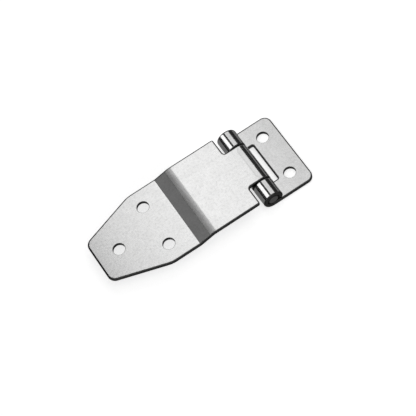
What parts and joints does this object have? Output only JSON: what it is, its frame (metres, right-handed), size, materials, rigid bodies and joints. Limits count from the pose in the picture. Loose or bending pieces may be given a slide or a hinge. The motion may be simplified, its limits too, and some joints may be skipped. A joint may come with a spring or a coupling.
{
  "type": "strap hinge",
  "caption": "Cranked stainless strap hinge: tapered long leaf and short fixed leaf rolled round a plain pin, with plain screw holes.",
  "frame": {"origin": "on the back face of the short leaf, midway between its two screw holes", "axes": "+X from the tip of the strap towards the end of the short leaf, Y along the hinge pin, +Z from the fastening side to the face that shows"},
  "size_m": [0.127, 0.05, 0.0122],
  "materials": {
    "strap_steel": "satin polished stainless sheet",
    "butt_steel": "satin polished stainless sheet",
    "pin_steel": "drawn stainless bar, cut ends"
  },
  "bodies": {
    "short_side": {"butt_leaf": "butt_steel", "hinge_pin": "pin_steel"},
    "strap_side": {"strap_leaf": "strap_steel"}
  },
  "joints": [
    {"name": "strap_swing", "type": "hinge", "parent": "short_side", "child": "strap_side", "pos_m": [-0.0172, 0, 0.0061], "axis": [0, 1, 0], "range_deg": [-158, 162]}
  ]
}
